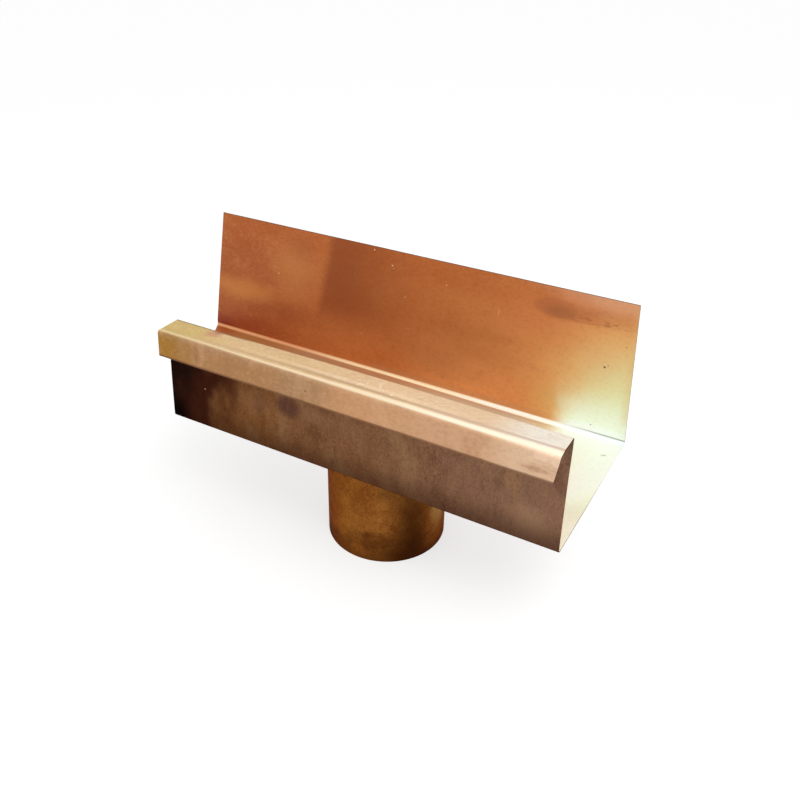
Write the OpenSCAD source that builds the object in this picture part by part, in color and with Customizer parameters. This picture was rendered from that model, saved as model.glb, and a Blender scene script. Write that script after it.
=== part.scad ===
// Box gutter running outlet: a short length of folded copper box gutter with a round spigot soldered through its floor.
// The origin is the centre of the spigot's lower rim. X runs along the gutter, Y from front to back, Z up.

/* [Sheet] */
// Thickness of the gutter sheet
sheet_t = 0.7; // [0.5:0.05:1.2]

/* [Trough section] */
// Depth of the floor, over both walls
floor_depth = 120; // [110:1:180]
// Height of the front wall, from the floor's underside to the top of the bead
front_h = 75; // [55:1:110]
// Height of the back wall, from the floor's underside
back_h = 97; // [60:1:150]
// Inside radius of the bend between floor and front wall
front_bend_r = 1.2; // [0.6:0.1:4]
// Inside radius of the bend between floor and back wall
back_bend_r = 1; // [0.6:0.1:6]
// How far the front wall's top stands outside its foot
front_flare = 0; // [-6:0.5:6]
// How far the back wall's top stands outside its foot
back_flare = 0; // [-6:0.5:10]

/* [Bead] */
// Width of the bead's flat top, from the face of the front wall to the crease
bead_flat_w = 12.5; // [8:0.5:25]
// Width of the sloping strip outside the crease
bead_slope_w = 5.5; // [2:0.5:10]
// How far the sloping strip falls
bead_slope_fall = 1.5; // [0.5:0.25:5]
// How far the outer flange hangs below the bead's top
bead_drop = 16.5; // [8:0.5:30]
// How far the flange's lower edge stands outside its upper bend
bead_kick = 1.4; // [0:0.2:4]
// Inside radius of the bend from front wall to bead
bead_inner_r = 1; // [0.5:0.1:3]
// Inside radius of the crease
bead_crease_r = 1.5; // [0.5:0.1:3]
// Inside radius of the bead's outer bend
bead_outer_r = 1.6; // [0.5:0.1:3]

/* [Ends] */
// Length from the outlet's axis to the right end
run_right = 140; // [80:1:400]
// How far the back wall's right end leans inward, for each 100 mm of height
right_lean = 4; // [0:0.5:10]
// Length from the outlet's axis to the left end, at the foot of the front wall
run_left = 129; // [80:1:400]
// How much further the back wall runs than the front wall at the left end
left_skew = 62; // [0:1:90]
// How far the back wall's left end leans inward, for each 100 mm of height
left_lean = 17; // [0:0.5:25]
// How far the front wall's left end leans inward, for each 100 mm of height
front_lean = 6; // [0:0.5:15]
// How far the bead's left end is set back from the foot of the front wall
bead_setback = 13; // [0:0.5:40]
// Height of the snip that takes off the front wall's left corner below the bead
snip_h = 14; // [5:0.5:20]

/* [Outlet] */
// Outside diameter of the spigot
spigot_d = 80; // [60:1:90]
// Wall thickness of the spigot
spigot_t = 0.8; // [0.6:0.1:1.5]
// Length of the spigot below the floor
spigot_len = 80; // [40:1:120]
// Width of the spigot's flange on the floor, from the tube's face
flange_w = 6; // [5:0.5:12]
// Outside radius of the flare from tube to flange
flare_r = 1.5; // [1.2:0.1:2.5]
// Width of the solder fillet round the flange's rim
solder_leg = 2; // [1.5:0.25:5]

/* [Hidden] */
bend_steps = 6;
round_fn = 96;
cut_reach = run_right + run_left + left_skew + floor_depth + spigot_len + back_h;
far_x = 2 * cut_reach;
half_depth = floor_depth / 2;
spigot_r = spigot_d / 2;
hole_r = spigot_r + flare_r;
flange_r = spigot_r + flange_w;
floor_under = spigot_len;
floor_top = floor_under + sheet_t;
half_t = sheet_t / 2;
copper = [0.72, 0.45, 0.28];
tube_copper = [0.58, 0.36, 0.18];
solder_grey = [0.66, 0.66, 0.64];

// A unit vector along v, v turned a quarter turn to the left, and the signed angle from one direction to another.
function unit(v) = v / norm(v);
function left_of(v) = [-v[1], v[0]];
function turn(u, v) = atan2(u[0] * v[1] - u[1] * v[0], u * v);

// The bend at corner b of the path a, b, c, as pairs of a point on the sheet's middle line and its left-hand normal.
// The radius is that of the middle line.
function bend(a, b, c, radius) =
    let (
        u = unit(b - a),
        angle = turn(u, unit(c - b)),
        side = sign(angle),
        start = b - u * radius * tan(abs(angle) / 2),
        centre = start + left_of(u) * side * radius
    )
    [for (i = [0 : bend_steps])
        let (swing = angle * i / bend_steps,
             normal = [left_of(u) * [cos(swing), -sin(swing)], left_of(u) * [sin(swing), cos(swing)]])
        [centre - normal * side * radius, normal]];

// The whole middle line of a sheet folded along the corner points, one radius for each corner between the ends.
function fold_line(corners, radii) =
    let (last = len(corners) - 1,
         first_n = left_of(unit(corners[1] - corners[0])),
         last_n = left_of(unit(corners[last] - corners[last - 1])))
    concat(
        [[corners[0], first_n]],
        [for (i = [1 : last - 1]) each bend(corners[i - 1], corners[i], corners[i + 1], radii[i - 1])],
        [[corners[last], last_n]]
    );

// The section of a folded sheet: the middle line set off by half its thickness to each side.
module folded_section(corners, radii, thickness) {
    line = fold_line(corners, radii);
    left_side = [for (p = line) p[0] + p[1] * thickness / 2];
    right_side = [for (i = [len(line) - 1 : -1 : 0]) line[i][0] - line[i][1] * thickness / 2];
    polygon(concat(left_side, right_side));
}

// The trough's section in Y and Z, from the top of the back wall round to the bead's lower edge.
module trough_section() {
    wall_y = half_depth - half_t;
    foot_z = floor_under + half_t;
    bead_top = floor_under + front_h;
    bead_z = bead_top - half_t;
    crease_y = -half_depth - front_flare - bead_flat_w;
    edge_y = crease_y - bead_slope_w;
    folded_section(
        corners = [
            [wall_y + back_flare, floor_under + back_h],
            [wall_y, foot_z],
            [-wall_y, foot_z],
            [-wall_y - front_flare, bead_z],
            [crease_y, bead_z],
            [edge_y, bead_z - bead_slope_fall],
            [edge_y - bead_kick, bead_top - bead_drop]
        ],
        radii = [back_bend_r + half_t, front_bend_r + half_t, bead_inner_r + half_t, bead_crease_r + half_t,
                 bead_outer_r + half_t],
        thickness = sheet_t
    );
}

// A cut through one wall: an outline in X and Z, run across from the middle of the floor to behind or before the wall.
module wall_cut(outline, at_back) {
    translate([0, at_back ? cut_reach : 0, 0])
        rotate([90, 0, 0])
            linear_extrude(cut_reach)
                polygon(outline);
}

// The left end's cut through floor and back wall: square over the front bend, then on the slant.
module slanted_cut() {
    slant_y = -half_depth + 2 * sheet_t + front_bend_r;
    slant_x = left_skew * (cut_reach - slant_y) / (half_depth - slant_y);
    linear_extrude(cut_reach)
        polygon([
            [-far_x, -cut_reach],
            [-run_left, -cut_reach],
            [-run_left, slant_y],
            [-run_left - slant_x, cut_reach],
            [-far_x, cut_reach]
        ]);
}

// The left end's cut through front wall and bead: up the leaning wall, over the snipped corner and up the bead. It starts
// above the floor, whose slanted end stays whole.
module front_cut() {
    lean_z = floor_top + front_bend_r + sheet_t;
    foot_z = floor_top + sheet_t / 2;
    bead_z = floor_under + front_h - bead_drop - sheet_t;
    snip_z = max(lean_z, bead_z - snip_h);
    wall_cut([
        [-far_x, foot_z],
        [-run_left - front_lean / 100 * (lean_z - foot_z), foot_z],
        [-run_left + front_lean / 100 * (snip_z - lean_z), snip_z],
        [-run_left + bead_setback, bead_z],
        [-run_left + bead_setback, cut_reach],
        [-far_x, cut_reach]
    ], false);
}

// The cuts that lean the back wall's two ends inward from just above the back bend.
module back_cuts() {
    lean_z = floor_top + back_bend_r + sheet_t;
    rise = cut_reach - lean_z;
    back_left = -run_left - left_skew;
    wall_cut([
        [-far_x, 0],
        [back_left - left_lean / 100 * lean_z, 0],
        [back_left + left_lean / 100 * rise, cut_reach],
        [-far_x, cut_reach]
    ], true);
    wall_cut([
        [run_right + right_lean / 100 * lean_z, 0],
        [far_x, 0],
        [far_x, cut_reach],
        [run_right - right_lean / 100 * rise, cut_reach]
    ], true);
}

module gutter_trough() {
    color(copper)
        difference() {
            translate([-cut_reach, 0, 0])
                rotate([90, 0, 90])
                    linear_extrude(cut_reach + run_right)
                        trough_section();
            slanted_cut();
            front_cut();
            back_cuts();
            translate([0, 0, floor_under - sheet_t])
                cylinder(h = 3 * sheet_t, r = hole_r, $fn = round_fn);
        }
}

module outlet_spigot() {
    color(tube_copper)
        rotate_extrude($fn = round_fn)
            folded_section(
                corners = [
                    [spigot_r - spigot_t / 2, 0],
                    [spigot_r - spigot_t / 2, floor_top + spigot_t / 2],
                    [flange_r, floor_top + spigot_t / 2]
                ],
                radii = [flare_r + spigot_t / 2],
                thickness = spigot_t
            );
}

module solder_seam() {
    color(solder_grey)
        rotate_extrude($fn = round_fn)
            polygon([[flange_r, floor_top], [flange_r + solder_leg, floor_top], [flange_r, floor_top + spigot_t]]);
}

gutter_trough();
outlet_spigot();
solder_seam();
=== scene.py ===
import math
import bpy
import numpy as np
from mathutils import Matrix, Vector


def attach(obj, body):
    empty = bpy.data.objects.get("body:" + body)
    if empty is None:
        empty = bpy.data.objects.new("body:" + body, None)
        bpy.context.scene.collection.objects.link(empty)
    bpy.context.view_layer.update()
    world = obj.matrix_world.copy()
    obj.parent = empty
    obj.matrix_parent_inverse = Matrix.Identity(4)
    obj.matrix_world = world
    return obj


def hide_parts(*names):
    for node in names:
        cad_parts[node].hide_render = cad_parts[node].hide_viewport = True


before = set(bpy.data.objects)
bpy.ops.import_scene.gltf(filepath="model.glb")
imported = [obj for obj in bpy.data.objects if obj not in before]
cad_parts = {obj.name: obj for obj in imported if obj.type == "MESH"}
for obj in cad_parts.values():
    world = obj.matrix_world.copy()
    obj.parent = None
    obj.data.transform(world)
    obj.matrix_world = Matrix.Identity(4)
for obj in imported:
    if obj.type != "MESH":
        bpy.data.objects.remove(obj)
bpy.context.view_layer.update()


# The gutter sheet: one blank of 0.7 mm copper, folded over a brake into back wall, floor, front
# wall and a bead that turns outward and hangs down. Its left end was cut on a slant and its floor
# for the outlet. Both skins are modelled, with the slight waves that hand folding leaves.

SHEET_THICK = 0.0007
FLOOR_UNDER = 0.080
HALF_DEPTH = 0.060
RIGHT_END = 0.140
RIGHT_LEAN = 0.04
LEFT_FOOT = -0.129
LEFT_SKEW = 0.062
FRONT_BEND_Y = -0.0574
BACK_LEFT_FOOT = -0.191
BACK_LEFT_LEAN = 0.17
BACK_LEAN_Z = 0.0824
FRONT_LEFT_Z = (0.0826, 0.1238, 0.1378)
FRONT_LEFT_X = (-0.129, -0.12653, -0.116)

# The corners of the sheet's middle line in Y and Z, from the back wall's top to the bead's lower
# edge, and the radius of the middle line at each corner between them.
FOLD_CORNERS = np.array([
    (0.05965, 0.17700), (0.05965, 0.08035), (-0.05965, 0.08035), (-0.05965, 0.15465),
    (-0.07250, 0.15465), (-0.07800, 0.15315), (-0.07940, 0.13850)])
FOLD_RADII = (0.00135, 0.00155, 0.00135, 0.00185, 0.00195)
BACK_WALL, FLOOR, FRONT_WALL, BEAD_TOP, BEAD_SLOPE, FLANGE = range(6)
WATER_SIDE, BEAD_SIDE, WEATHER_SIDE, CUT_EDGE = range(4)

# How finely the sheet is divided: cells across each flat (the floor's come from the outlet patch)
# and across a bend, cells along the left end and to the right end, and the square patch round the
# outlet.
FLAT_CELLS = (34, None, 26, 8, 4, 7)
BEND_CELLS = 8
LEFT_CELLS = 30
RIGHT_CELLS = 22
HOLE_RADIUS = 0.0415
PATCH_HALF = 0.0545
PATCH_CELLS = 26
PATCH_RINGS = 7

# How far each flat waves or dishes, and the marks of the folding: the crease that fades to the
# left, the bead's rear edge that bows, the flange that is cut back at the right end, and the nick
# in its lower edge.
BACK_DISH, FLOOR_WAVE, FRONT_WAVE = 0.00035, 0.00025, 0.00022
BEAD_WAVE, SLOPE_WAVE, FLANGE_DISH = 0.00010, 0.00005, 0.00028
STILL_ROUND_HOLE, STILL_FADE = 0.056, 0.03
CREASE_SHARP_X, CREASE_FLAT_X, CREASE_LIFT = 0.030, -0.090, 0.0013
BOW_MIDDLE, BOW_HALF_RUN, BOW_DEPTH = 0.035, 0.110, 0.0014
FLANGE_CUT_BACK = 0.0019
NICK_X, NICK_HALF_WIDTH, NICK_FROM = 0.0993, 0.0011, 0.7
NICK_RISE, NICK_PUSH = 0.0009, 0.0004
NICK_REACH, NICK_LINES, NICK_CLEAR = 0.0025, 9, 0.0030
SHARP_ANGLE = 50


def fold_profile():
    """The sheet's middle line in Y and Z. Each flat is a straight run between the tangent points of
    its two bends, and each bend is an arc about a centre one radius from both flats. Returns the
    points, their left-hand normals, and for each point the number of its flat (bends are counted
    half way to the next flat) and the share run along it."""
    ways = np.diff(FOLD_CORNERS, axis=0)
    lengths = np.linalg.norm(ways, axis=1)
    ways = ways / lengths[:, None]
    points, normals, flats, shares = [], [], [], []
    start = FOLD_CORNERS[0]
    for i, way in enumerate(ways):
        left = np.array((-way[1], way[0]))
        last = i == len(ways) - 1
        if last:
            stop = FOLD_CORNERS[-1]
        else:
            turn = math.atan2(way[0] * ways[i + 1][1] - way[1] * ways[i + 1][0], way @ ways[i + 1])
            reach = FOLD_RADII[i] * math.tan(abs(turn) / 2)
            stop = FOLD_CORNERS[i + 1] - way * reach
        if i == FLOOR:
            inner = np.linspace(PATCH_HALF, -PATCH_HALF, PATCH_CELLS + 1)
            behind = (start[0], (start[0] + PATCH_HALF) / 2)
            before = ((stop[0] - PATCH_HALF) / 2, stop[0])
            run = np.concatenate((behind, inner, before))
            share = (start[0] - run) / (start[0] - stop[0])
        else:
            share = np.linspace(0, 1, FLAT_CELLS[i] + 1)
        points.append(start + (stop - start) * share[:, None])
        normals.append(np.repeat(left[None], len(share), axis=0))
        flats.append(np.full(len(share), float(i)))
        shares.append(share)
        if not last:
            side = math.copysign(1, turn)
            centre = stop + left * side * FOLD_RADII[i]
            swing = turn * np.arange(1, BEND_CELLS) / BEND_CELLS
            turned = np.stack((left[0] * np.cos(swing) - left[1] * np.sin(swing),
                               left[0] * np.sin(swing) + left[1] * np.cos(swing)), axis=1)
            points.append(centre - turned * side * FOLD_RADII[i])
            normals.append(turned)
            flats.append(i + swing / turn)
            shares.append(np.zeros(BEND_CELLS - 1))
            start = FOLD_CORNERS[i + 1] + ways[i + 1] * reach
    return tuple(np.concatenate(part) for part in (points, normals, flats, shares))


def sheet_waves(flat, share, x, y):
    """How far each point leaves its flat, along the left-hand normal: a few long sines of X, from
    68 to 200 mm long, times a bulge that is zero at both folds of the flat. The back wall and the
    flange only dish inward, by sines that stay above zero, so they keep to the part's box. The
    floor lies still round the hole."""
    bulge = np.sin(np.pi * share)
    slow = 0.5 + 0.25 * np.sin(x * 31 + 0.7) + 0.25 * np.sin(x * 67 + share * 2.1 + 2.0)
    quick = np.sin(x * 45 + 1.3 + share) * 0.6 + np.sin(x * 93 + 0.4) * 0.4
    clear_of_hole = np.clip((np.hypot(x, y) - STILL_ROUND_HOLE) / STILL_FADE, 0, 1)
    wall_edge = np.clip((1 - share) * 1.2, 0, 1) * 0.5
    top_bulge = np.maximum(bulge, wall_edge * np.sqrt(np.clip(1 - share, 0, 1)))
    waves = {
        BACK_WALL: -BACK_DISH * slow * top_bulge,
        FLOOR: FLOOR_WAVE * quick * bulge * clear_of_hole,
        FRONT_WALL: FRONT_WAVE * quick * bulge,
        BEAD_TOP: BEAD_WAVE * quick * bulge,
        BEAD_SLOPE: SLOPE_WAVE * quick * bulge,
        FLANGE: FLANGE_DISH * slow * np.sqrt(share)}
    return np.select([flat == number for number in waves], list(waves.values()), 0.0)


def left_end(y, z):
    """Where the sheet ends on the left. The front bend is cut square and the floor on the slant.
    The back wall's end leans inward as it rises, and the front wall's leans a little, is snipped at
    its corner and ends at the bead."""
    slant = LEFT_SKEW / (HALF_DEPTH - FRONT_BEND_Y)
    floor_end = LEFT_FOOT - slant * np.maximum(y - FRONT_BEND_Y, 0)
    back_end = BACK_LEFT_FOOT + BACK_LEFT_LEAN * (z - BACK_LEAN_Z)
    front_end = np.where(z > FRONT_LEFT_Z[0], np.interp(z, FRONT_LEFT_Z, FRONT_LEFT_X), floor_end)
    return np.where(y > 0, np.maximum(floor_end, back_end), np.maximum(floor_end, front_end))


def right_end(y, z):
    """Where the sheet ends on the right: square, but for the back wall, whose end leans inward as
    it rises."""
    return RIGHT_END - RIGHT_LEAN * np.where(y > 0, np.maximum(z - BACK_LEAN_Z, 0), 0)


def lines_along():
    """The lines across the sheet right of the outlet patch's left side: evenly spaced, with close
    lines at the nick."""
    even = np.linspace(-PATCH_HALF, PATCH_HALF, PATCH_CELLS + 1)
    right = np.linspace(PATCH_HALF, RIGHT_END, RIGHT_CELLS + 1)[1:]
    right = right[np.abs(right - NICK_X) > NICK_CLEAR]
    at_nick = NICK_X + np.linspace(-NICK_REACH, NICK_REACH, NICK_LINES)
    return np.sort(np.concatenate((even, right, at_nick)))


def quads(rows):
    """Faces between neighbouring rows and columns of a grid of vertex numbers, as an array of four
    corners each."""
    corners = (rows[:-1, :-1], rows[1:, :-1], rows[1:, 1:], rows[:-1, 1:])
    return np.stack(corners, axis=-1).reshape(-1, 4)


def gutter_sheet():
    """Both skins of the folded sheet on one grid of profile points by lines across, joined by
    strips at every cut edge. The cells over the outlet are left out, and a fan of rings takes their
    place: each ring is a blend between the square of grid points round the gap and the circle of
    the hole."""
    profile, normal, flat, share = fold_profile()
    left = left_end(profile[:, 0], profile[:, 1])[:, None]
    lead = np.linspace(0, 1, LEFT_CELLS + 1)[None, :-1]
    right = right_end(profile[:, 0], profile[:, 1]) - FLANGE_CUT_BACK * (share * (flat == FLANGE))
    right = right[:, None]
    along = lines_along()[None, :]
    beyond = np.maximum(along - PATCH_HALF, 0) * (right - RIGHT_END) / (RIGHT_END - PATCH_HALF)
    x = np.concatenate((left + (-PATCH_HALF - left) * lead, along + beyond), axis=1)
    off = sheet_waves(flat[:, None], share[:, None], x, profile[:, :1])

    # The crease fades to the left, where slope and outer bend lift nearly level with the bead's top.
    at_outer_bend = (flat > BEAD_SLOPE) & (flat < FLANGE)
    lifted = np.select([flat == BEAD_SLOPE, at_outer_bend, flat == FLANGE],
                       [share, 1, 1 - share], 0)[:, None]
    fade = np.clip((CREASE_SHARP_X - x) / (CREASE_SHARP_X - CREASE_FLAT_X), 0, 1)
    lift = CREASE_LIFT * fade * fade * (3 - 2 * fade) * lifted

    # The bead's rear edge bows inward, over the trough.
    at_rear_bend = (flat > FRONT_WALL) & (flat < BEAD_TOP)
    bowed = np.select([flat == FRONT_WALL, at_rear_bend, flat == BEAD_TOP],
                      [share ** 2, 1, (1 - share) ** 2], 0)[:, None]
    from_bow_middle = np.clip((x - BOW_MIDDLE) / BOW_HALF_RUN, -1, 1)
    bow = BOW_DEPTH * np.cos(from_bow_middle * np.pi / 2) * bowed

    # The nick lifts the flange's lower edge and pushes it inward.
    low_share = np.clip(share - NICK_FROM, 0, 1) / (1 - NICK_FROM)
    low_on_flange = ((flat == FLANGE) * low_share)[:, None]
    nick = np.exp(-((x - NICK_X) / NICK_HALF_WIDTH) ** 2) * low_on_flange

    def skin(side):
        yz = profile[:, None, :] + normal[:, None, :] * (off + side * SHEET_THICK / 2)[..., None]
        yz[..., 1] += NICK_RISE * nick + lift
        yz[..., 0] += NICK_PUSH * nick + bow
        return np.concatenate((x[..., None], yz), axis=-1)

    # The outlet patch: the cells that it takes out of the grid, and the vertices round its rim.
    rows, columns = x.shape
    first_row = int(np.flatnonzero((flat == FLOOR) & np.isclose(profile[:, 0], PATCH_HALF))[0])
    first_column = lead.shape[1]
    last_row, last_column = first_row + PATCH_CELLS, first_column + PATCH_CELLS
    numbers = np.arange(rows * columns).reshape(rows, columns)
    kept = np.ones((rows - 1, columns - 1), bool)
    kept[first_row:last_row, first_column:last_column] = False
    kept = kept.reshape(-1)
    rim = np.concatenate((
        numbers[first_row, first_column:last_column],
        numbers[first_row:last_row, last_column],
        numbers[last_row, last_column:first_column:-1],
        numbers[last_row:first_row:-1, first_column]))
    flat_of_cell = np.repeat(np.minimum(flat[:-1], flat[1:]), columns - 1)[kept]

    # The weather side's skin, then the water side's, then strips that join them at every cut edge.
    verts, faces, kinds, edges = [], [], [], []
    base = 0
    for side in (1, -1):
        grid = skin(side).reshape(-1, 3)
        square = grid[rim]
        angle = np.arctan2(square[:, 1], square[:, 0])
        circle_z = FLOOR_UNDER + SHEET_THICK / 2 - side * SHEET_THICK / 2
        circle = np.stack((HOLE_RADIUS * np.cos(angle), HOLE_RADIUS * np.sin(angle),
                           np.full(len(rim), circle_z)), axis=1)
        share_out = (np.arange(PATCH_RINGS) / PATCH_RINGS)[:, None, None]
        fan = (circle + (square - circle) * share_out).reshape(-1, 3)
        rings = base + len(grid) + np.arange(PATCH_RINGS * len(rim)).reshape(PATCH_RINGS, -1)
        rings = np.concatenate((rings, base + rim[None]))
        rings = np.concatenate((rings, rings[:, :1]), axis=1)
        main, fans = quads(base + numbers)[kept], quads(rings)
        if side > 0:
            faces += [main, fans[:, ::-1]]
            kinds += [np.full(len(main), WEATHER_SIDE), np.full(len(fans), WEATHER_SIDE)]
        else:
            faces += [main[:, ::-1], fans]
            on_walls = flat_of_cell < FRONT_WALL + 0.5
            kinds += [np.where(on_walls, WATER_SIDE, BEAD_SIDE), np.full(len(fans), WATER_SIDE)]
        verts += [grid, fan]
        here = base + numbers
        edges.append((here[0], here[-1], here[:, 0], here[:, -1], rings[0]))
        base += len(grid) + len(fan)
    for outer, inner, flip in zip(*edges, (False, True, True, False, False)):
        strip = quads(np.stack((outer, inner)))
        faces.append(strip[:, ::-1] if flip else strip)
        kinds.append(np.full(len(strip), CUT_EDGE))
    mesh = bpy.data.meshes.new("gutter_sheet")
    mesh.from_pydata(np.concatenate(verts), [], np.concatenate(faces).tolist())
    mesh.polygons.foreach_set("material_index", np.concatenate(kinds).astype(np.int32))
    mesh.polygons.foreach_set("use_smooth", np.ones(len(mesh.polygons), bool))
    mesh.set_sharp_from_angle(angle=math.radians(SHARP_ANGLE))
    mesh.update()
    piece = bpy.data.objects.new("gutter_sheet", mesh)
    bpy.context.scene.collection.objects.link(piece)
    return piece


gutter = gutter_sheet()


# The water side of the sheet: satin copper, evenly tarnished to orange brown. Its left end has a tan
# band, a dark red corner and the soft edge of another sheet that once lay over it. Its right end has
# a painted pale brassy reflection over floor and back wall, and a dusky wipe mark above it. The
# floor carries a painted reflection of the surround, and the cove at the back wall's foot carries a
# painted highlight.

# Colours that change along the gutter. Each row says between which two X its colour comes in.
WALL_START = (180, 98, 46)
WALL_RUN = ((-0.16, -0.03, (222, 141, 77)), (-0.02, 0.10, (236, 165, 100)))
FLOOR_START = (192, 106, 50)
# The floor's run: copper at the left that pales to the right as a painted reflection.
FLOOR_REFLECTION_RUN = (
    (-0.184, -0.156, (198, 142, 84)), (-0.140, -0.090, (200, 166, 126)),
    (-0.04, 0.04, (206, 212, 190)), (0.05, 0.09, (226, 236, 218)))
# The cove's painted highlight, which pales to white toward the right.
COVE_HIGHLIGHT_START = (228, 168, 116)
COVE_HIGHLIGHT_RUN = (
    (-0.125, -0.055, (250, 226, 182)), (-0.060, -0.015, (255, 240, 200)),
    (-0.01, 0.06, (255, 255, 240)), (0.07, 0.12, (240, 250, 252)))

# Stains: colour, strength, centre, half sizes, softness, raggedness, and the fineness and turn
# where they matter. The first lie at the left end: a tan band, the paler sheet left of the lap, a
# browner strip under the band, the red brown foot and the dark red corner.
LEFT_STAINS = (
    ((210, 134, 66), 0.8, (-0.160, 0.060, 0.118), (0.052, 0.02, 0.013), 0.8, 0.35),
    ((214, 144, 80), 0.5, (-0.112, 0.060, 0.143), (0.030, 0.02, 0.036), 0.9, 0.2),
    ((168, 88, 44), 0.5, (-0.125, 0.058, 0.108), (0.050, 0.02, 0.014), 0.9, 0.25),
    ((164, 76, 40), 0.6, (-0.170, 0.058, 0.088), (0.060, 0.02, 0.018), 0.9, 0.25),
    ((140, 44, 20), 0.8, (-0.188, 0.058, 0.081), (0.024, 0.02, 0.016), 0.9, 0.2))
# Painted gold reflection round the pale reflection, and a painted tan left of its foot.
RIGHT_END_REFLECTION = (
    ((242, 210, 138), 1.0, (0.150, 0.050, 0.104), (0.092, 0.08, 0.088), 0.85, 0.25),
    ((224, 178, 108), 0.6, (0.088, 0.060, 0.096), (0.020, 0.02, 0.022), 0.9, 0.3))
# The redder middle, a brown patch by the lap, and the pinkish rim at the right end.
TOP_STAINS = (
    ((220, 130, 76), 0.35, (0.070, 0.060, 0.154), (0.052, 0.02, 0.022), 0.9, 0.3),
    ((180, 100, 54), 0.45, (-0.107, 0.060, 0.164), (0.020, 0.02, 0.016), 0.9, 0.5, 80),
    ((240, 190, 154), 0.6, (0.122, 0.060, 0.178), (0.058, 0.02, 0.017), 0.9, 0.4, 90))
# The nearly white heart of the painted reflection, at the foot of the wall.
REFLECTION_WHITE = (
    ((246, 255, 248), 1.0, (0.120, 0.035, 0.0805), (0.036, 0.070, 0.011), 0.5, 0.15, 40),)
WIPE_DUSK = (
    ((146, 100, 62), 0.4, (0.0880, 0.060, 0.1610), (0.0180, 0.02, 0.0070), 0.9, 0.6, 150),)
SCRATCH = (
    ((250, 196, 140), 0.8, (0.048, 0.0593, 0.151), (0.0005, 0.002, 0.0036), 0.6, 0.0, 60,
     (0, 0.12, 0)),)
FLOOR_FLECK = (
    ((176, 178, 152), 0.6, (0.1325, 0.0400, 0.0807), (0.0026, 0.001, 0.002), 0.6, 0.5, 600,
     (0, 0, 0.5)),)

# Small pale specks and dark pits on the back wall: X, Z and radius.
WALL_FACE_Y = 0.0593
SPOT_HALF_DEPTH = 0.002
WALL_SPECKS = (
    (-0.045, 0.1745, 0.0007), (-0.031, 0.166, 0.0008), (-0.030, 0.164, 0.0004),
    (-0.021, 0.145, 0.0006), (0.010, 0.161, 0.0006), (-0.018, 0.122, 0.0005),
    (-0.056, 0.108, 0.0005), (-0.127, 0.139, 0.0006), (-0.010, 0.104, 0.0004),
    (0.070, 0.120, 0.0004))
WALL_PITS = (
    (0.1205, 0.1310, 0.0010), (0.1225, 0.1325, 0.0005), (0.117, 0.0875, 0.0005),
    (0.132, 0.148, 0.0005))


def shade(red, green, blue):
    """A colour given as it looks on a screen, 0 to 255, as the linear values that a shader
    takes."""
    c = np.array((red, green, blue)) / 255
    return (*np.where(c <= 0.04045, c / 12.92, ((c + 0.055) / 1.055) ** 2.4), 1.0)


def feed(tree, node, inputs):
    """Sets a node's inputs, by name or number, each to a plain value or to the socket feeding it."""
    for name, value in inputs.items():
        if isinstance(value, bpy.types.NodeSocket):
            tree.links.new(value, node.inputs[name])
        else:
            node.inputs[name].default_value = value


def add(tree, kind, inputs=None, **settings):
    """One shader node with its settings and inputs."""
    node = tree.nodes.new(kind)
    for name, value in settings.items():
        setattr(node, name, value)
    feed(tree, node, inputs or {})
    return node


def new_material(name):
    """An empty node material: its tree, its Principled shader, its object coordinates, and the
    three of them apart, along the gutter, from front to back, and up."""
    material = bpy.data.materials.new(name)
    material.use_nodes = True
    tree = material.node_tree
    tree.nodes.clear()
    shader = add(tree, "ShaderNodeBsdfPrincipled")
    add(tree, "ShaderNodeOutputMaterial", {"Surface": shader.outputs["BSDF"]})
    place = add(tree, "ShaderNodeTexCoord").outputs["Object"]
    along, deep, up = add(tree, "ShaderNodeSeparateXYZ", {"Vector": place}).outputs
    return material, tree, shader, place, along, deep, up


def noise(tree, place, scale, detail=4.0, rough=0.55, stretch=(1, 1, 1)):
    """Cloudy noise around one half, with features about one over scale metres across, drawn out
    along an axis by stretch."""
    where = add(tree, "ShaderNodeMapping", {"Vector": place, "Scale": stretch}).outputs[0]
    return add(tree, "ShaderNodeTexNoise", {
        "Vector": where, "Scale": scale, "Detail": detail, "Roughness": rough}).outputs["Fac"]


def remap(tree, value, low, high, to_low=0.0, to_high=1.0, kind="SMOOTHSTEP"):
    """A value carried from one range to another, held at the new range's ends."""
    inputs = {"Value": value, "From Min": low, "From Max": high, "To Min": to_low,
              "To Max": to_high}
    return add(tree, "ShaderNodeMapRange", inputs, interpolation_type=kind).outputs[0]


def math_of(tree, what, first, second=0.0):
    """One sum, product or other operation on two values."""
    return add(tree, "ShaderNodeMath", {0: first, 1: second}, operation=what).outputs[0]


def overlap(tree, first, *others):
    """The product of several masks, which is full only where all of them are."""
    for other in others:
        first = math_of(tree, "MULTIPLY", first, other)
    return first


def frayed_by(tree, value, cloud, reach, kind="LINEAR"):
    """A value that wanders up and down by a reach as a cloud does."""
    return math_of(tree, "ADD", value, remap(tree, cloud, 0.3, 0.7, -reach, reach, kind))


def blot(tree, place, centre, size, soft=0.6, ragged=0.0, scale=60, turn=(0, 0, 0), strength=1.0):
    """A soft-edged spot: the distance from its centre in units of its half sizes, frayed by noise,
    and turned into strength at its heart and 0 beyond its rim."""
    frame_of_spot = {"Vector": place, "Location": centre, "Rotation": turn, "Scale": size}
    where = add(tree, "ShaderNodeMapping", frame_of_spot, vector_type="TEXTURE").outputs[0]
    far = add(tree, "ShaderNodeVectorMath", {0: where}, operation="LENGTH").outputs["Value"]
    if ragged:
        cloud = noise(tree, place, scale)
        fray = add(tree, "ShaderNodeMath", {0: cloud, 1: ragged, 2: -ragged / 2},
                   operation="MULTIPLY_ADD").outputs[0]
        far = math_of(tree, "ADD", far, fray)
    return remap(tree, far, 1 - soft, 1, strength, 0)


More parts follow.
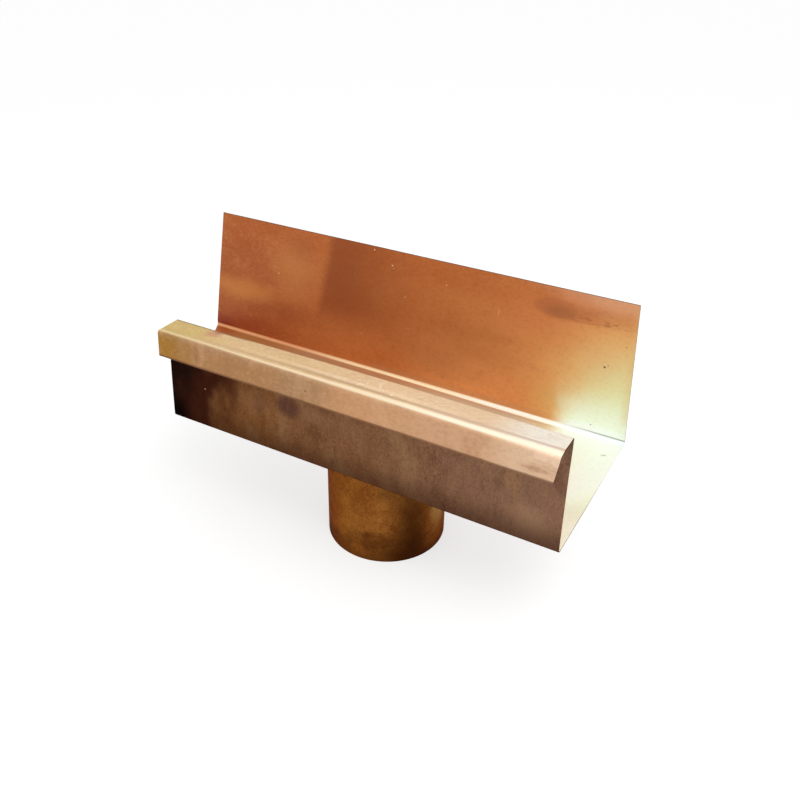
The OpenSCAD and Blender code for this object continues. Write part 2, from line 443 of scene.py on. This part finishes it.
def tint(tree, below, mask, colour, how="MIX"):
    """One colour laid over another by a mask. Each colour is a socket, or is given as it looks on a
    screen."""
    node = add(tree, "ShaderNodeMix", {"Factor": mask}, data_type="RGBA", blend_type=how)
    for name, value in (("A", below), ("B", colour)):
        socket = next(s for s in node.inputs if s.name == name and s.type == "RGBA")
        if isinstance(value, bpy.types.NodeSocket):
            tree.links.new(value, socket)
        else:
            socket.default_value = shade(*value)
    return next(s for s in node.outputs if s.type == "RGBA")


def run_of(tree, colour, axis, steps):
    """A colour that changes along an axis. Each step says where its colour comes in, and where it
    is full."""
    for start, full, next_colour in steps:
        colour = tint(tree, colour, remap(tree, axis, start, full), next_colour)
    return colour


def stained(tree, colour, place, stains):
    """A colour with blots laid over it, one after the other."""
    for seen, strength, *spot in stains:
        colour = tint(tree, colour, blot(tree, place, *spot, strength=strength), seen)
    return colour


def mottled(tree, colour, cloud, light, light_amount, dark, dark_amount, inner=0.02, outer=0.16):
    """A colour lightened where a cloud runs high and darkened where it runs low. Both start inner
    from the cloud's middle value and are full at outer."""
    lights = remap(tree, cloud, 0.5 + inner, 0.5 + outer, 0, light_amount)
    darks = remap(tree, cloud, 0.5 - inner, 0.5 - outer, 0, dark_amount)
    return tint(tree, tint(tree, colour, lights, light), darks, dark)


def bump_of(tree, height, strength, distance):
    """A shading normal from a height."""
    return add(tree, "ShaderNodeBump", {
        "Height": height, "Strength": strength, "Distance": distance}).outputs[0]


water_side, tree, shader, place, along, deep, up = new_material("satin_copper_water_side")
colour = run_of(tree, WALL_START, along, WALL_RUN)
# A warm painted reflection low on the wall's middle, then a redder strip under its rim.
warm_reflection = overlap(tree, remap(tree, up, 0.132, 0.100), remap(tree, along, -0.045, 0.015),
               remap(tree, along, 0.020, 0.080, 1, 0.2))
colour = tint(tree, colour, warm_reflection, (252, 174, 106))
under_rim = remap(tree, up, 0.150, 0.168, 0, 0.45)
colour = tint(tree, colour, under_rim, (196, 104, 44))

# Broad clouds, finer ones, and the rolled sheet's grain.
cloud = noise(tree, place, 22, 5, stretch=(0.6, 1, 1))
colour = tint(tree, colour, remap(tree, cloud, 0.44, 0.72, 0, 0.25), (196, 108, 52))
fine_cloud = noise(tree, place, 90, 6, 0.65, stretch=(0.7, 1, 1))
colour = mottled(tree, colour, fine_cloud, (232, 158, 92), 0.16, (184, 102, 50), 0.12)
weave = noise(tree, place, 620, 2, 0.5, stretch=(0.6, 1, 1))
colour = mottled(tree, colour, weave, (242, 174, 112), 0.10, (172, 90, 40), 0.08)

# The soft edge of the sheet that once lay over this one leans with the wall's left end.
LAP_LEAN = -0.235
lap_x = math_of(tree, "ADD", along, math_of(tree, "MULTIPLY", up, LAP_LEAN))
lapped = overlap(tree, remap(tree, lap_x, -0.1255, -0.1155),
                 remap(tree, along, -0.074, 0.000, 1, 0), remap(tree, up, 0.098, 0.130), 0.72)
colour = tint(tree, colour, lapped, (154, 77, 34))
colour = stained(tree, colour, place, LEFT_STAINS)

# The floor: copper overlaid with a painted reflection of the pale surround, which grows to the right
# and to the front.
floor_copper_and_reflection = run_of(tree, FLOOR_START, along, FLOOR_REFLECTION_RUN)
front_right_reflection = overlap(tree, remap(tree, deep, -0.005, -0.045), remap(tree, along, 0.05, 0.10))
floor_copper_and_reflection = tint(tree, floor_copper_and_reflection, front_right_reflection, (242, 247, 228))
on_floor = remap(tree, up, 0.0816, 0.0808)
colour = tint(tree, colour, overlap(tree, on_floor, 0.9), floor_copper_and_reflection)

# The painted reflection at the right end: gold, then pale yellow, then nearly white at the foot of
# the wall.
colour = stained(tree, colour, place, RIGHT_END_REFLECTION)
leaning = math_of(tree, "ADD", along, remap(tree, up, 0.081, 0.161, 0.000, -0.017, "LINEAR"))
pale_reflection_x = frayed_by(tree, leaning, noise(tree, place, 45), 0.004)
behind = remap(tree, deep, -0.030, 0.010)
pale_reflection = overlap(tree, remap(tree, pale_reflection_x, 0.079, 0.124), remap(tree, up, 0.160, 0.094), behind)
colour = tint(tree, colour, pale_reflection, (236, 246, 196))
brightest_reflection = overlap(tree, remap(tree, pale_reflection_x, 0.086, 0.106), remap(tree, up, 0.118, 0.088), behind)
colour = tint(tree, colour, brightest_reflection, (242, 253, 232))
colour = stained(tree, colour, place, REFLECTION_WHITE)
edge_tan = overlap(tree, remap(tree, along, 0.1325, 0.1385), remap(tree, up, 0.086, 0.100), 0.35)
colour = tint(tree, colour, edge_tan, (232, 200, 136))
colour = stained(tree, colour, place, TOP_STAINS)

# The dusky wipe mark above the painted reflection: a rounded lobe at its left, a band that thins to
# the right, and thin strokes along its lower edge.
wiped_z = frayed_by(tree, up, noise(tree, place, 170, 4), 0.0010)
wiped_z = math_of(tree, "ADD", wiped_z, remap(tree, along, 0.088, 0.13, 0.0, -0.0024, "LINEAR"))
mark = overlap(tree, remap(tree, wiped_z, 0.1557, 0.1572), remap(tree, wiped_z, 0.1705, 0.1640),
               remap(tree, along, 0.136, 0.100, 0.10, 0.46), remap(tree, along, 0.082, 0.092))
lobe = blot(tree, place, (0.0868, 0.06, 0.1630), (0.0175, 0.02, 0.0082), 0.35, 0.35, 130,
            strength=0.60)
colour = tint(tree, colour, math_of(tree, "MAXIMUM", mark, lobe), (198, 122, 80))
colour = stained(tree, colour, place, WIPE_DUSK)
strokes = noise(tree, place, 420, 3, 0.6, stretch=(0.35, 1, 1))
strokes = overlap(tree, remap(tree, strokes, 0.52, 0.62),
                  blot(tree, place, (0.116, 0.06, 0.1615), (0.024, 0.02, 0.0055), 0.7), 0.5)
colour = tint(tree, colour, strokes, (164, 88, 58))

# Along the folds: a brassy line up at the bead, a painted highlight along the cove at the back
# wall's foot, a paler, less red strip above it, and painted shade as a dark line in the corner
# between wall and floor at the right end.
bead_rim = overlap(tree, remap(tree, up, 0.1500, 0.1530), remap(tree, deep, -0.055, -0.058),
                   remap(tree, along, -0.048, -0.074, 0, 0.8))
colour = tint(tree, colour, bead_rim, (96, 74, 40))
cove_highlight_y = math_of(tree, "ADD", deep, remap(tree, along, -0.05, 0.08, 0.0, 0.0014))
cove_highlight = overlap(tree, remap(tree, cove_highlight_y, 0.0566, 0.0578), remap(tree, up, 0.0826, 0.0818))
colour = tint(tree, colour, cove_highlight, run_of(tree, COVE_HIGHLIGHT_START, along, COVE_HIGHLIGHT_RUN))
from_middle = math_of(tree, "ABSOLUTE", math_of(tree, "ADD", along, -0.02))
foot = overlap(tree, remap(tree, up, 0.0890, 0.0835), remap(tree, deep, 0.050, 0.057),
               remap(tree, from_middle, 0.085, 0.055, 0, 0.55),
               math_of(tree, "SUBTRACT", 1.0, cove_highlight))
colour = tint(tree, colour, foot, (204, 152, 108))
# Painted shade: a dark line in the corner between wall and floor at the right end.
from_foot = math_of(tree, "ABSOLUTE", math_of(tree, "ADD", up, -0.0823))
corner_shade_line = overlap(tree, remap(tree, from_foot, 0.0006, 0.0002), remap(tree, deep, 0.055, 0.057),
                    remap(tree, along, 0.094, 0.130, 0, 0.75))
colour = tint(tree, colour, corner_shade_line, (128, 118, 70))

# Specks, one scratch and pits on the back wall, and a fleck on the floor.
for x, z, radius in WALL_SPECKS:
    speck = blot(tree, place, (x, WALL_FACE_Y, z), (radius, SPOT_HALF_DEPTH, radius))
    colour = tint(tree, colour, speck, (255, 226, 186))
colour = stained(tree, colour, place, SCRATCH)
for x, z, radius in WALL_PITS:
    pit = blot(tree, place, (x, WALL_FACE_Y, z), (radius, SPOT_HALF_DEPTH, radius),
               ragged=0.6, scale=900)
    colour = tint(tree, colour, pit, (110, 84, 48))
colour = tint(tree, colour, remap(tree, weave, 0.50, 0.34, 0, 0.12), (222, 214, 200), "MULTIPLY")
colour = stained(tree, colour, place, FLOOR_FLECK)
dulled = noise(tree, place, 70, 4, stretch=(0.4, 1, 1))
rolled = noise(tree, place, 260, 3, 0.6, stretch=(0.25, 1, 1))
feed(tree, shader, {
    "Base Color": colour,
    "Metallic": remap(tree, cove_highlight, 0, 1, 0.55, 0.05),
    "Roughness": remap(tree, dulled, 0.35, 0.65, 0.54, 0.62),
    "Normal": bump_of(tree, rolled, 0.10, 0.0003)})


# The bead's top and face. The same copper rubbed bright by handling, brassy at the left end and pale
# to the right, with rub marks on its top, a dark line along the crease and a few smudges on its
# face. Painted highlights lie on the slope, just before the crease and at the face's top right, and
# painted shade lies just under the outer bend.

BEAD_START = (206, 176, 100)
BEAD_RUN = (
    (-0.105, -0.06, (218, 182, 132)), (-0.02, 0.03, (226, 189, 147)),
    (0.040, 0.085, (226, 193, 156)), (0.092, 0.128, (236, 228, 214)))
FACE_START = (170, 120, 34)
FACE_RUN = (
    (-0.114, -0.074, (176, 128, 82)), (-0.05, 0.02, (202, 150, 106)),
    (0.02, 0.09, (208, 162, 124)), (0.095, 0.120, (222, 186, 152)))
# A pink smear on the bead's top, its red heart, and a paler side.
BEAD_STAINS = (
    ((196, 138, 102), 0.75, (-0.0845, -0.0648, 0.155), (0.0085, 0.0056, 0.01), 0.8, 0.6, 150),
    ((178, 104, 66), 0.9, (-0.0822, -0.0622, 0.155), (0.0048, 0.0026, 0.01), 0.8, 0.6, 200),
    ((228, 188, 160), 0.25, (-0.0780, -0.0625, 0.155), (0.0090, 0.0040, 0.01), 0.9, 0.5, 150))
# A painted highlight along the bend just before the crease.
CREASE_BEND_HIGHLIGHT = (((246, 218, 184), 0.45, (0.02, -0.0695, 0.155), (0.110, 0.0022, 0.01), 0.9),)
FACE_TAN = (((168, 128, 86), 0.9, (-0.012, -0.079, 0.147), (0.028, 0.02, 0.030), 0.8, 0.4, 90),)
# A pinkish patch at the face's left end, the brown one beside it, and a dark speck.
FACE_STAINS = (
    ((206, 168, 146), 0.12, (-0.0975, -0.079, 0.148), (0.0050, 0.02, 0.016), 0.95, 0.6, 120),
    ((138, 92, 46), 0.4, (-0.0862, -0.079, 0.146), (0.0040, 0.02, 0.012), 0.9, 0.5, 120),
    ((140, 88, 58), 0.8, (-0.0080, -0.079, 0.146), (0.0010, 0.01, 0.0008)))

bead_side, tree, shader, place, along, deep, up = new_material("rubbed_copper_bead")
colour = run_of(tree, BEAD_START, along, BEAD_RUN)
mottle = noise(tree, place, 60, 6, 0.65, stretch=(0.5, 1, 1))
colour = mottled(tree, colour, mottle, (240, 210, 164), 0.30, (200, 156, 112), 0.30)
speckle = noise(tree, place, 640, 2, 0.5, stretch=(0.6, 1, 1))
colour = mottled(tree, colour, speckle, (250, 226, 190), 0.16, (192, 146, 108), 0.16)
colour = stained(tree, colour, place, BEAD_STAINS)
rubs = noise(tree, place, 520, 3, 0.6, stretch=(0.6, 1, 1))
rubbed = blot(tree, place, (0.045, -0.068, 0.155), (0.055, 0.007, 0.01), 0.6, 0.3)
rubs = overlap(tree, remap(tree, rubs, 0.58, 0.66), rubbed, 0.8)
colour = tint(tree, colour, rubs, (252, 234, 190))
# The painted highlight before the crease.
colour = stained(tree, colour, place, CREASE_BEND_HIGHLIGHT)

# The crease: a painted highlight on the slope outside it, and a dark line along its bottom. Both
# move outward to the left, where it fades.
slope_y = remap(tree, along, -0.06, 0.02, -0.0754, -0.0737, "LINEAR")
slope_highlight = overlap(tree, remap(tree, math_of(tree, "SUBTRACT", slope_y, deep), 0.0, 0.0010),
                      remap(tree, along, -0.11, 0.06, 0.6, 1))
slope_highlight_colour = tint(tree, (246, 224, 188), remap(tree, along, 0.02, 0.10), (247, 240, 214))
colour = tint(tree, colour, slope_highlight, slope_highlight_colour)
from_line = math_of(tree, "ADD", deep, remap(tree, along, -0.06, -0.01, 0.0733, 0.0726, "LINEAR"))
crease_line = overlap(tree, remap(tree, math_of(tree, "ABSOLUTE", from_line), 0.0012, 0.0003),
               remap(tree, along, -0.115, 0.030, 0.30, 0.85))
crease_line_colour = tint(tree, (186, 156, 122), remap(tree, along, 0.02, 0.12), (206, 178, 158))
colour = tint(tree, colour, crease_line, crease_line_colour)
rear_edge = overlap(tree, remap(tree, deep, -0.0619, -0.0609),
                    remap(tree, along, -0.048, -0.074, 0, 0.8))
colour = tint(tree, colour, rear_edge, (110, 86, 46))

# The face, from the outer bend down. It is palest at the top of its right end, where a highlight is
# painted.
face_colour = run_of(tree, FACE_START, along, FACE_RUN)
top_right_highlight = overlap(tree, remap(tree, up, 0.1460, 0.1500), remap(tree, along, 0.118, 0.132))
face_colour = tint(tree, face_colour, top_right_highlight, (236, 202, 172))
face_colour = stained(tree, face_colour, place, FACE_TAN)
# Painted shade just under the outer bend, at the left and middle.
under_bend_shade = overlap(tree, remap(tree, up, 0.1505, 0.1540), remap(tree, along, 0.09, 0.05, 0, 0.25))
face_colour = tint(tree, face_colour, under_bend_shade, (190, 160, 128))
streaked = noise(tree, place, 55, 5, 0.6, stretch=(1, 1, 0.45))
face_colour = mottled(tree, face_colour, streaked, (224, 176, 136), 0.25, (168, 112, 74), 0.25)
face_colour = mottled(tree, face_colour, speckle, (236, 190, 150), 0.12, (156, 104, 70), 0.16)
face_colour = stained(tree, face_colour, place, FACE_STAINS)
smudge = blot(tree, place, (0.130, -0.0785, 0.1447), (0.015, 0.02, 0.0048), 0.8, 0.6, 160,
              (0, -0.10, 0))
strokes = noise(tree, place, 260, 3, 0.6, stretch=(0.25, 1, 1))
smudge = overlap(tree, smudge, remap(tree, strokes, 0.44, 0.60, 0.10, 0.60))
face_colour = tint(tree, face_colour, smudge, (158, 104, 76))
lower_edge = remap(tree, up, 0.1402, 0.1390, 0, 0.8)
face_colour = tint(tree, face_colour, lower_edge, (108, 66, 38))
face_y = math_of(tree, "ADD", remap(tree, along, -0.06, 0.00, 0.0, -0.0006),
                 remap(tree, along, 0.05, 0.11, 0, 0.0003))
face = remap(tree, math_of(tree, "ADD", deep, face_y), -0.0766, -0.0782)
feed(tree, shader, {
    "Base Color": tint(tree, colour, face, face_colour),
    "Metallic": 0.7,
    "Roughness": remap(tree, mottle, 0.35, 0.65, 0.36, 0.46),
    "Normal": bump_of(tree, mottle, 0.15, 0.0004)})


# The weather side. The outside of the walls, the underside and the hidden back of the bead are
# browned by handling and air, with faint upright smears, one purple stain and pale rubbed patches.
# The front is nearly black at its left end, tarnish together with a painted dark reflection, and its
# foot is painted dark as shade.

# The front's black end: tarnish together with a painted dark reflection.
BLACK_END = (19, 14, 12)
BLACK_END_RUN = ((-0.128, -0.100, (60, 30, 20)), (-0.098, -0.075, (126, 84, 50)))
BROWN_RUN = ((-0.055, -0.020, (128, 88, 60)), (0.00, 0.13, (133, 99, 79)))

# Coarse smears, dapples and fine specks: the noise's scale, detail, roughness and upright stretch,
# then how the light part comes in, as the noise's range and the strengths at its ends, and its
# colour, and the same of the dark part.
OUTSIDE_CLOUDS = (
    (34, 6, 0.62, 0.6,
     (0.50, 0.64, 0, 0.60), (156, 118, 84), (0.48, 0.36, 0, 0.45), (82, 46, 32)),
    (150, 4, 0.65, 0.45,
     (0.52, 0.66, 0, 0.25), (158, 116, 84), (0.48, 0.36, 0, 0.22), (72, 38, 24)),
    (800, 2, 0.5, 0.7,
     (0.52, 0.68, 0, 0.17), (176, 130, 92), (0.48, 0.34, 0, 0.20), (64, 34, 22)))
# Three rubbed patches in the middle, the purple stain, the rubbed right end and a pink speck.
OUTSIDE_STAINS = (
    ((160, 120, 88), 0.25, (-0.060, -0.06, 0.112), (0.020, 0.02, 0.012), 0.95, 0.6, 70),
    ((160, 120, 88), 0.25, (-0.017, -0.06, 0.117), (0.020, 0.02, 0.012), 0.95, 0.6, 70),
    ((160, 120, 88), 0.25, (0.002, -0.06, 0.115), (0.020, 0.02, 0.012), 0.95, 0.6, 70),
    ((76, 46, 46), 0.65, (-0.035, -0.06, 0.1168), (0.013, 0.02, 0.0105), 0.7, 0.5, 90),
    ((164, 128, 98), 0.5, (0.122, -0.06, 0.095), (0.020, 0.02, 0.016), 0.9, 0.5, 70),
    ((214, 150, 138), 0.7, (-0.0999, -0.06, 0.1093), (0.0009, 0.002, 0.0007)))

weather_side, tree, shader, place, along, deep, up = new_material("browned_copper_outside")
clouds = [noise(tree, place, scale, detail, rough, (1, 1, upright))
          for scale, detail, rough, upright, *_ in OUTSIDE_CLOUDS]
smear, dapple = clouds[:2]

# The black end belongs to the front wall only: elsewhere its X is pushed far to the right.
PAST_BLACK_END = 0.2
at_front = remap(tree, deep, -0.050, -0.056)
black_x = frayed_by(tree, along, smear, 0.012)
black_x = math_of(tree, "ADD", black_x, remap(tree, up, 0.090, 0.135, 0.007, -0.013, "LINEAR"))
black_x = math_of(tree, "ADD", black_x, remap(tree, at_front, 0, 1, PAST_BLACK_END, 0.0, "LINEAR"))
colour = run_of(tree, BLACK_END, black_x, BLACK_END_RUN)
colour = run_of(tree, colour, along, BROWN_RUN)
clear = remap(tree, black_x, -0.096, -0.045)
for cloud, (*_, light, light_colour, dark, dark_colour) in zip(clouds, OUTSIDE_CLOUDS):
    colour = tint(tree, colour, overlap(tree, remap(tree, cloud, *light), clear), light_colour)
    colour = tint(tree, colour, remap(tree, cloud, *dark), dark_colour)
colour = stained(tree, colour, place, OUTSIDE_STAINS)

# Painted shade at the front's foot, black at its left end.
foot = overlap(tree, remap(tree, up, 0.103, 0.081, 0, 0.62), at_front)
foot_shade_colour = tint(tree, (10, 4, 3), remap(tree, along, -0.125, -0.100), (54, 28, 18))
colour = tint(tree, colour, foot, foot_shade_colour)
black_foot_shade = overlap(tree, remap(tree, along, -0.112, -0.124),
                     remap(tree, up, 0.100, 0.084, 0, 0.8), at_front)
colour = tint(tree, colour, black_foot_shade, (6, 2, 1))
feed(tree, shader, {
    "Base Color": colour,
    "Metallic": 0.94,
    "Specular Tint": shade(176, 140, 116),
    "Roughness": remap(tree, smear, 0.35, 0.65, 0.46, 0.58),
    "Normal": bump_of(tree, dapple, 0.12, 0.0003)})


# The cut edges. Sheared through and dulled dark, with a painted highlight down the right end of the
# front wall and a pale painted highlight along the back of the floor's right end.

# The painted highlight down the front wall's right end.
END_HIGHLIGHT = (((255, 232, 196), 1.0, (0.140, -0.0595, 0.110), (0.003, 0.0016, 0.040), 0.5),)

cut_edge, tree, shader, place, along, deep, up = new_material("sheared_copper_edge")
dulled = remap(tree, noise(tree, place, 160, 3), 0.4, 0.7)
colour = tint(tree, (30, 14, 8), dulled, (58, 31, 19))
# A pale painted highlight on the floor's right end.
floor_end = overlap(tree, remap(tree, up, 0.0830, 0.0815), remap(tree, along, 0.138, 0.1395),
                    remap(tree, deep, -0.030, 0.030))
colour = tint(tree, colour, floor_end, (255, 252, 236))
colour = stained(tree, colour, place, END_HIGHLIGHT)
feed(tree, shader, {
    "Base Color": colour, "Metallic": 0.8, "Specular Tint": shade(86, 58, 42), "Roughness": 0.6})

for material in (water_side, bead_side, weather_side, cut_edge):
    gutter.data.materials.append(material)
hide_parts("gutter_trough")
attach(gutter, "root")


# The outlet spigot. A length of copper tube with its top end flared into a flange, pushed down
# through the hole and soldered to the floor. It is dull brown and mottled, and its right side is
# painted dark from top to bottom as shade.

SPIGOT_BROWN = (148, 92, 40)
# Painted shade down the right side and at its foot, a frayed low patch and the spot above it, a
# patch up high, the tan right edge, painted shade down the left edge, and a reddish streak.
SPIGOT_STAINS_AND_SHADE = (
    ((54, 24, 6), 0.80, (0.0320, -0.0240, 0.0280), (0.0220, 0.0220, 0.080), 0.95, 0.4, 60),
    ((46, 20, 5), 0.85, (0.0310, -0.0250, -0.0040), (0.0340, 0.0340, 0.036), 0.9, 0.5, 60),
    ((72, 34, 8), 0.65, (0.0120, -0.0382, 0.0155), (0.0280, 0.0120, 0.011), 0.95, 1.3, 120),
    ((66, 30, 8), 0.5, (0.0075, -0.0393, 0.0210), (0.0070, 0.0070, 0.0042), 0.9, 0.8, 200),
    ((66, 32, 10), 0.5, (0.0205, -0.0343, 0.0560), (0.0110, 0.0110, 0.012), 0.9, 0.7, 90),
    ((192, 156, 104), 0.8, (0.0398, 0.0010, 0.0400), (0.0125, 0.0155, 0.034), 0.9, 0.5, 90),
    ((76, 42, 12), 0.7, (-0.0360, -0.0180, 0.0300), (0.0100, 0.0100, 0.070), 0.9, 0.3),
    ((84, 34, 14), 0.6, (-0.0090, -0.0390, 0.0660), (0.0035, 0.0050, 0.010), 0.8, 0.8, 160))

tube_copper, tree, shader, place, _, _, up = new_material("mottled_brown_copper_tube")
mottle = noise(tree, place, 42, 6, 0.62, stretch=(1, 1, 0.7))
colour = mottled(tree, SPIGOT_BROWN, mottle, (130, 74, 28), 0.75, (156, 102, 46), 0.7, -0.02, 0.14)
fleck = noise(tree, place, 170, 5, 0.65, stretch=(1, 1, 0.8))
colour = mottled(tree, colour, fleck, (170, 112, 48), 0.30, (92, 48, 16), 0.35)
speckle = noise(tree, place, 800, 2, 0.5)
colour = mottled(tree, colour, speckle, (180, 124, 62), 0.22, (74, 38, 12), 0.30)
colour = stained(tree, colour, place, SPIGOT_STAINS_AND_SHADE)
low_rim = remap(tree, frayed_by(tree, up, mottle, 0.006, "SMOOTHSTEP"), 0.018, 0.0, 0, 0.6)
colour = tint(tree, colour, low_rim, (70, 32, 8))
feed(tree, shader, {
    "Base Color": colour,
    "Metallic": 0.90,
    "Specular Tint": shade(150, 116, 76),
    "Roughness": remap(tree, mottle, 0.35, 0.65, 0.46, 0.58),
    "Normal": bump_of(tree, fleck, 0.12, 0.0003)})
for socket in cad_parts["outlet_spigot"].material_slots:
    socket.material = tube_copper


# The solder seam. Tin solder run round the flange's rim with an iron, inside the trough. It is
# satin grey with fine ripples where it froze.

SOLDER_GREY = (168, 168, 162)

tin_solder, tree, shader, place, *_ = new_material("satin_tin_solder")
skimmed = noise(tree, place, 110, 5, 0.6)
colour = mottled(tree, SOLDER_GREY, skimmed, (206, 206, 200), 0.6, (122, 118, 108), 0.6)
ripple = noise(tree, place, 420, 3, 0.6)
colour = mottled(tree, colour, ripple, (216, 216, 210), 0.3, (108, 104, 96), 0.3)
feed(tree, shader, {
    "Base Color": colour,
    "Metallic": 1.0,
    "Roughness": remap(tree, skimmed, 0.35, 0.65, 0.32, 0.50),
    "Normal": bump_of(tree, ripple, 0.3, 0.0005)})
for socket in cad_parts["solder_seam"].material_slots:
    socket.material = tin_solder


# The studio: a white floor that keeps the object's shadow, an even white surround, and one large
# soft lamp overhead, to the right and in front. The camera stands where the photo was taken from.

FLOOR_REACH = 6
FLOOR_GREY = 0.45
FLOOR_GLOW = 0.67
SURROUND_LIGHT = 0.7
LAMP_SIZE = (0.5, 0.4)
LAMP_POWER = 2.6
LAMP_PLACE = (0.36, -0.26, 0.72)
LAMP_AWAY = (0.26, -0.28, 0.62)
SENSOR_WIDTH = 36
LENS = 39.601
SHIFT = (0.01774, -0.05203)
CAMERA_PLACE = (0.23847, -0.41994, 0.39908)
YAW, PITCH, ROLL = 29.770, 29.001, 0.482


def surround_seen(tree):
    """1 for rays that show the surround itself, straight on, mirrored or through glass, and 0 for
    all others."""
    rays = add(tree, "ShaderNodeLightPath").outputs
    straight_or_mirrored = math_of(tree, "MAXIMUM", rays["Is Camera Ray"], rays["Is Glossy Ray"])
    return math_of(tree, "MAXIMUM", straight_or_mirrored, rays["Is Transmission Ray"])


floor_mesh = bpy.data.meshes.new("studio_floor")
corners = [(x * FLOOR_REACH, y * FLOOR_REACH, 0) for x, y in ((-1, -1), (1, -1), (1, 1), (-1, 1))]
floor_mesh.from_pydata(corners, [], [(0, 1, 2, 3)])
floor = bpy.data.objects.new("studio_floor", floor_mesh)
bpy.context.scene.collection.objects.link(floor)
white_floor, tree, shader, *_ = new_material("white_studio_floor")
feed(tree, shader, {
    "Base Color": (FLOOR_GREY, FLOOR_GREY, FLOOR_GREY, 1),
    "Roughness": 0.9,
    "Specular IOR Level": 0.0,
    "Emission Color": (1, 1, 1, 1),
    "Emission Strength": math_of(tree, "MULTIPLY", surround_seen(tree), FLOOR_GLOW)})
floor_mesh.materials.append(white_floor)

world = bpy.data.worlds.new("white_studio")
bpy.context.scene.world = world
world.use_nodes = True
tree = world.node_tree
tree.nodes.clear()
strength = remap(tree, surround_seen(tree), 0, 1, SURROUND_LIGHT, 1.0, "LINEAR")
sky = add(tree, "ShaderNodeBackground", {"Color": (1, 1, 1, 1), "Strength": strength})
add(tree, "ShaderNodeOutputWorld", {"Surface": sky.outputs[0]})

lamp_data = bpy.data.lights.new("key_softbox", "AREA")
lamp_data.shape = "RECTANGLE"
lamp_data.size, lamp_data.size_y = LAMP_SIZE
lamp_data.energy = LAMP_POWER
lamp = bpy.data.objects.new("key_softbox", lamp_data)
lamp.location = LAMP_PLACE
lamp.rotation_euler = Vector(LAMP_AWAY).to_track_quat("Z", "Y").to_euler()
bpy.context.scene.collection.objects.link(lamp)

camera_data = bpy.data.cameras.new("photo_view")
camera_data.sensor_width = SENSOR_WIDTH
camera_data.lens = LENS
camera_data.shift_x, camera_data.shift_y = SHIFT
camera = bpy.data.objects.new("photo_view", camera_data)
camera.location = CAMERA_PLACE
camera.rotation_mode = "QUATERNION"
yaw, pitch, roll = (math.radians(angle) for angle in (YAW, PITCH, ROLL))
camera.rotation_quaternion = (
    Matrix.Rotation(yaw, 3, "Z") @ Matrix.Rotation(math.pi / 2 - pitch, 3, "X")
    @ Matrix.Rotation(roll, 3, "Z")).to_quaternion()
bpy.context.scene.collection.objects.link(camera)
bpy.context.scene.camera = camera
bpy.context.scene.view_settings.view_transform = "Standard"
